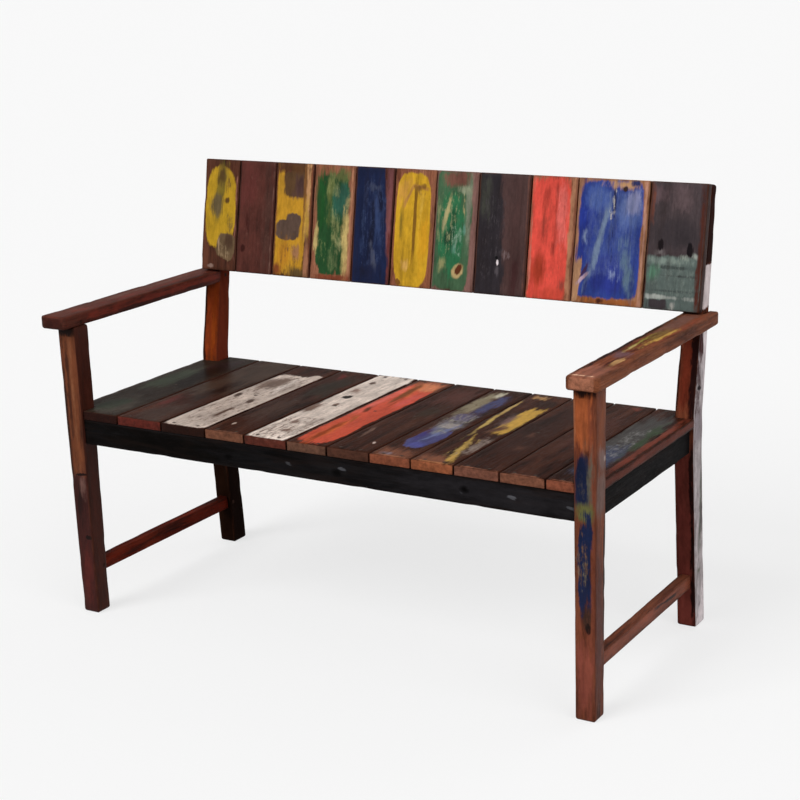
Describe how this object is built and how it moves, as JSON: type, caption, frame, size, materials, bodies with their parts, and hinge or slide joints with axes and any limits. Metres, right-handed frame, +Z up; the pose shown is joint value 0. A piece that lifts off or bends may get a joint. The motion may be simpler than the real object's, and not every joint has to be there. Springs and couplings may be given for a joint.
{
  "type": "outdoor bench",
  "caption": "Wooden garden bench with flat arms, a seat of crosswise boards and a back of upright boards, all reclaimed timber in worn paint colours.",
  "frame": {"origin": "on the floor, under the middle of the bench's overall box", "axes": "+X along the bench to the right hand of a viewer in front of it, +Y from the front to the back, +Z up"},
  "size_m": [1.244, 0.6048, 0.9047],
  "materials": {
    "bare_timber": "red-brown reclaimed hardwood, sanded and waxed",
    "black_apron": "black worn paint",
    "iron": "dull nail heads",
    "seat_board_01": "dark grey-green worn paint",
    "seat_board_02": "dark grey-brown worn paint",
    "seat_board_03": "greyish white worn paint",
    "seat_board_04": "bare dark brown",
    "seat_board_05": "greyish white worn paint",
    "seat_board_06": "coral red worn paint",
    "seat_board_07": "bare dark brown",
    "seat_board_08": "blue and grey traces of paint on brown",
    "seat_board_09": "yellow streaks of paint on brown",
    "seat_board_10": "bare dark brown",
    "seat_board_11": "bare dark brown",
    "seat_board_12": "grey-green worn paint",
    "back_board_01": "yellow worn paint",
    "back_board_02": "maroon-brown worn paint",
    "back_board_03": "yellow worn paint",
    "back_board_04": "green worn paint",
    "back_board_05": "navy blue worn paint",
    "back_board_06": "golden yellow worn paint",
    "back_board_07": "green worn paint",
    "back_board_08": "charcoal worn paint",
    "back_board_09": "coral red worn paint",
    "back_board_10": "blue worn paint",
    "back_board_11": "charcoal over grey-green worn paint"
  },
  "bodies": {
    "root": {"armrest_left": "bare_timber", "armrest_right": "bare_timber", "back_board_01": "back_board_01", "back_board_02": "back_board_02", "back_board_03": "back_board_03", "back_board_04": "back_board_04", "back_board_05": "back_board_05", "back_board_06": "back_board_06", "back_board_07": "back_board_07", "back_board_08": "back_board_08", "back_board_09": "back_board_09", "back_board_10": "back_board_10", "back_board_11": "back_board_11", "back_bottom_rail": "bare_timber", "back_nails": "iron", "back_top_rail": "bare_timber", "frame_pins": "bare_timber", "front_apron": "black_apron", "front_leg_left": "bare_timber", "front_leg_right": "bare_timber", "rear_apron": "bare_timber", "rear_post_left": "bare_timber", "rear_post_right": "bare_timber", "seat_board_01": "seat_board_01", "seat_board_02": "seat_board_02", "seat_board_03": "seat_board_03", "seat_board_04": "seat_board_04", "seat_board_05": "seat_board_05", "seat_board_06": "seat_board_06", "seat_board_07": "seat_board_07", "seat_board_08": "seat_board_08", "seat_board_09": "seat_board_09", "seat_board_10": "seat_board_10", "seat_board_11": "seat_board_11", "seat_board_12": "seat_board_12", "seat_middle_rail": "bare_timber", "seat_nails": "iron", "side_apron_left": "black_apron", "side_apron_right": "black_apron", "stretcher_left": "bare_timber", "stretcher_right": "bare_timber"}
  },
  "joints": []
}
